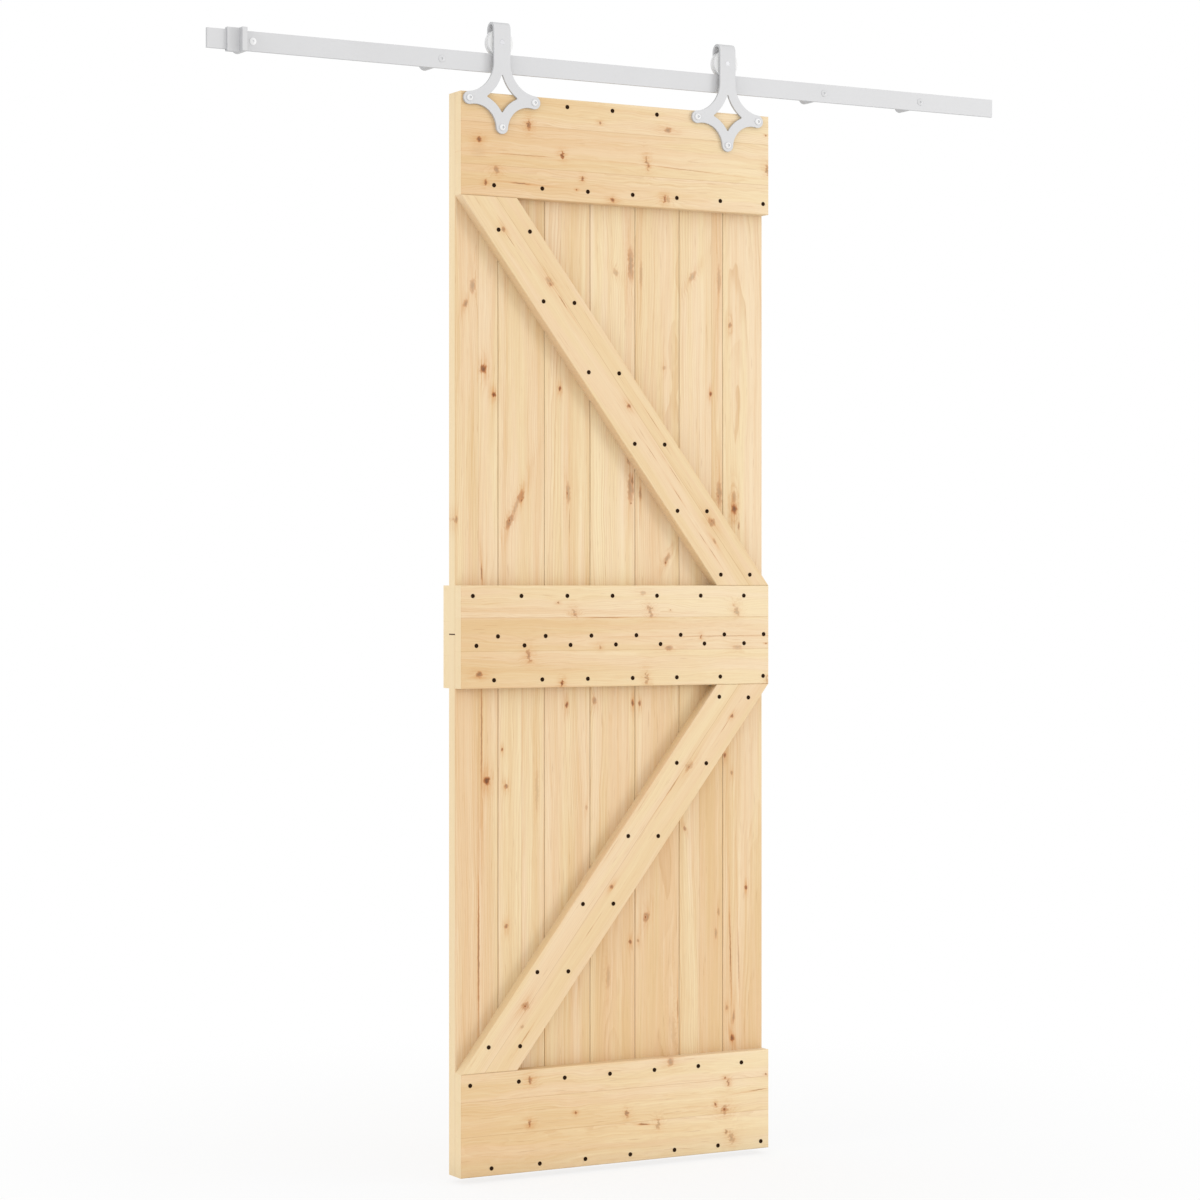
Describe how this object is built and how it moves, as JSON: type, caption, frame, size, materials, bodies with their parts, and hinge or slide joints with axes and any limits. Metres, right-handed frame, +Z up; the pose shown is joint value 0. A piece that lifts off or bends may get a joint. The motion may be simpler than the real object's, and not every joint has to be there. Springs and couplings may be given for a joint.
{
  "type": "sliding barn door",
  "caption": "Boarded pine door with front rails and slanting braces that hangs by bent strap hangers and grooved wheels from a flat steel rail and rolls sideways along a wall.",
  "frame": {"origin": "on the wall face of the second rail spacer from the left, just below its bolt hole", "axes": "+X along the rail to the right as seen from the room, +Y into the wall, +Z up"},
  "size_m": [1.7865, 0.097, 2.2395],
  "materials": {
    "pine": "planed, unvarnished",
    "white_steel": "white powder coat, satin",
    "white_bolts": "white lacquer, semi-gloss",
    "steel_axles": "turned",
    "white_wheels": "turned nylon"
  },
  "bodies": {
    "track": {"rail": "white_steel", "spacer_1": "white_steel", "spacer_2": "white_steel", "spacer_3": "white_steel", "spacer_4": "white_steel", "end_stop": "white_steel"},
    "door": {"upper_plank_1": "pine", "upper_plank_2": "pine", "upper_plank_3": "pine", "upper_plank_4": "pine", "upper_plank_5": "pine", "upper_plank_6": "pine", "upper_plank_7": "pine", "lower_plank_1": "pine", "lower_plank_2": "pine", "lower_plank_3": "pine", "lower_plank_4": "pine", "lower_plank_5": "pine", "lower_plank_6": "pine", "lower_plank_7": "pine", "top_rail": "pine", "middle_rail": "pine", "bottom_rail": "pine", "back_middle_rail": "pine", "upper_brace": "pine", "lower_brace": "pine", "left_hanger": "white_steel", "right_hanger": "white_steel", "left_hanger_bolts": "white_bolts", "right_hanger_bolts": "white_bolts", "left_axle": "steel_axles", "right_axle": "steel_axles"},
    "left_wheel": {"left_wheel": "white_wheels"},
    "right_wheel": {"right_wheel": "white_wheels"}
  },
  "joints": [
    {"name": "door_slide", "type": "slide", "parent": "track", "child": "door", "axis": [1, 0, 0], "range_m": [-0.505, 0.63]},
    {"name": "left_wheel_spin", "type": "hinge", "parent": "door", "child": "left_wheel", "pos_m": [0.125, -0.074, 0.0488], "axis": [0, 1, 0], "continuous": true},
    {"name": "right_wheel_spin", "type": "hinge", "parent": "door", "child": "right_wheel", "pos_m": [0.6375, -0.074, 0.0488], "axis": [0, 1, 0], "continuous": true}
  ],
  "couplings": [
    {"joint": "left_wheel_spin", "follows": "door_slide", "rad_per_m": 46.512},
    {"joint": "right_wheel_spin", "follows": "door_slide", "rad_per_m": 46.512}
  ]
}
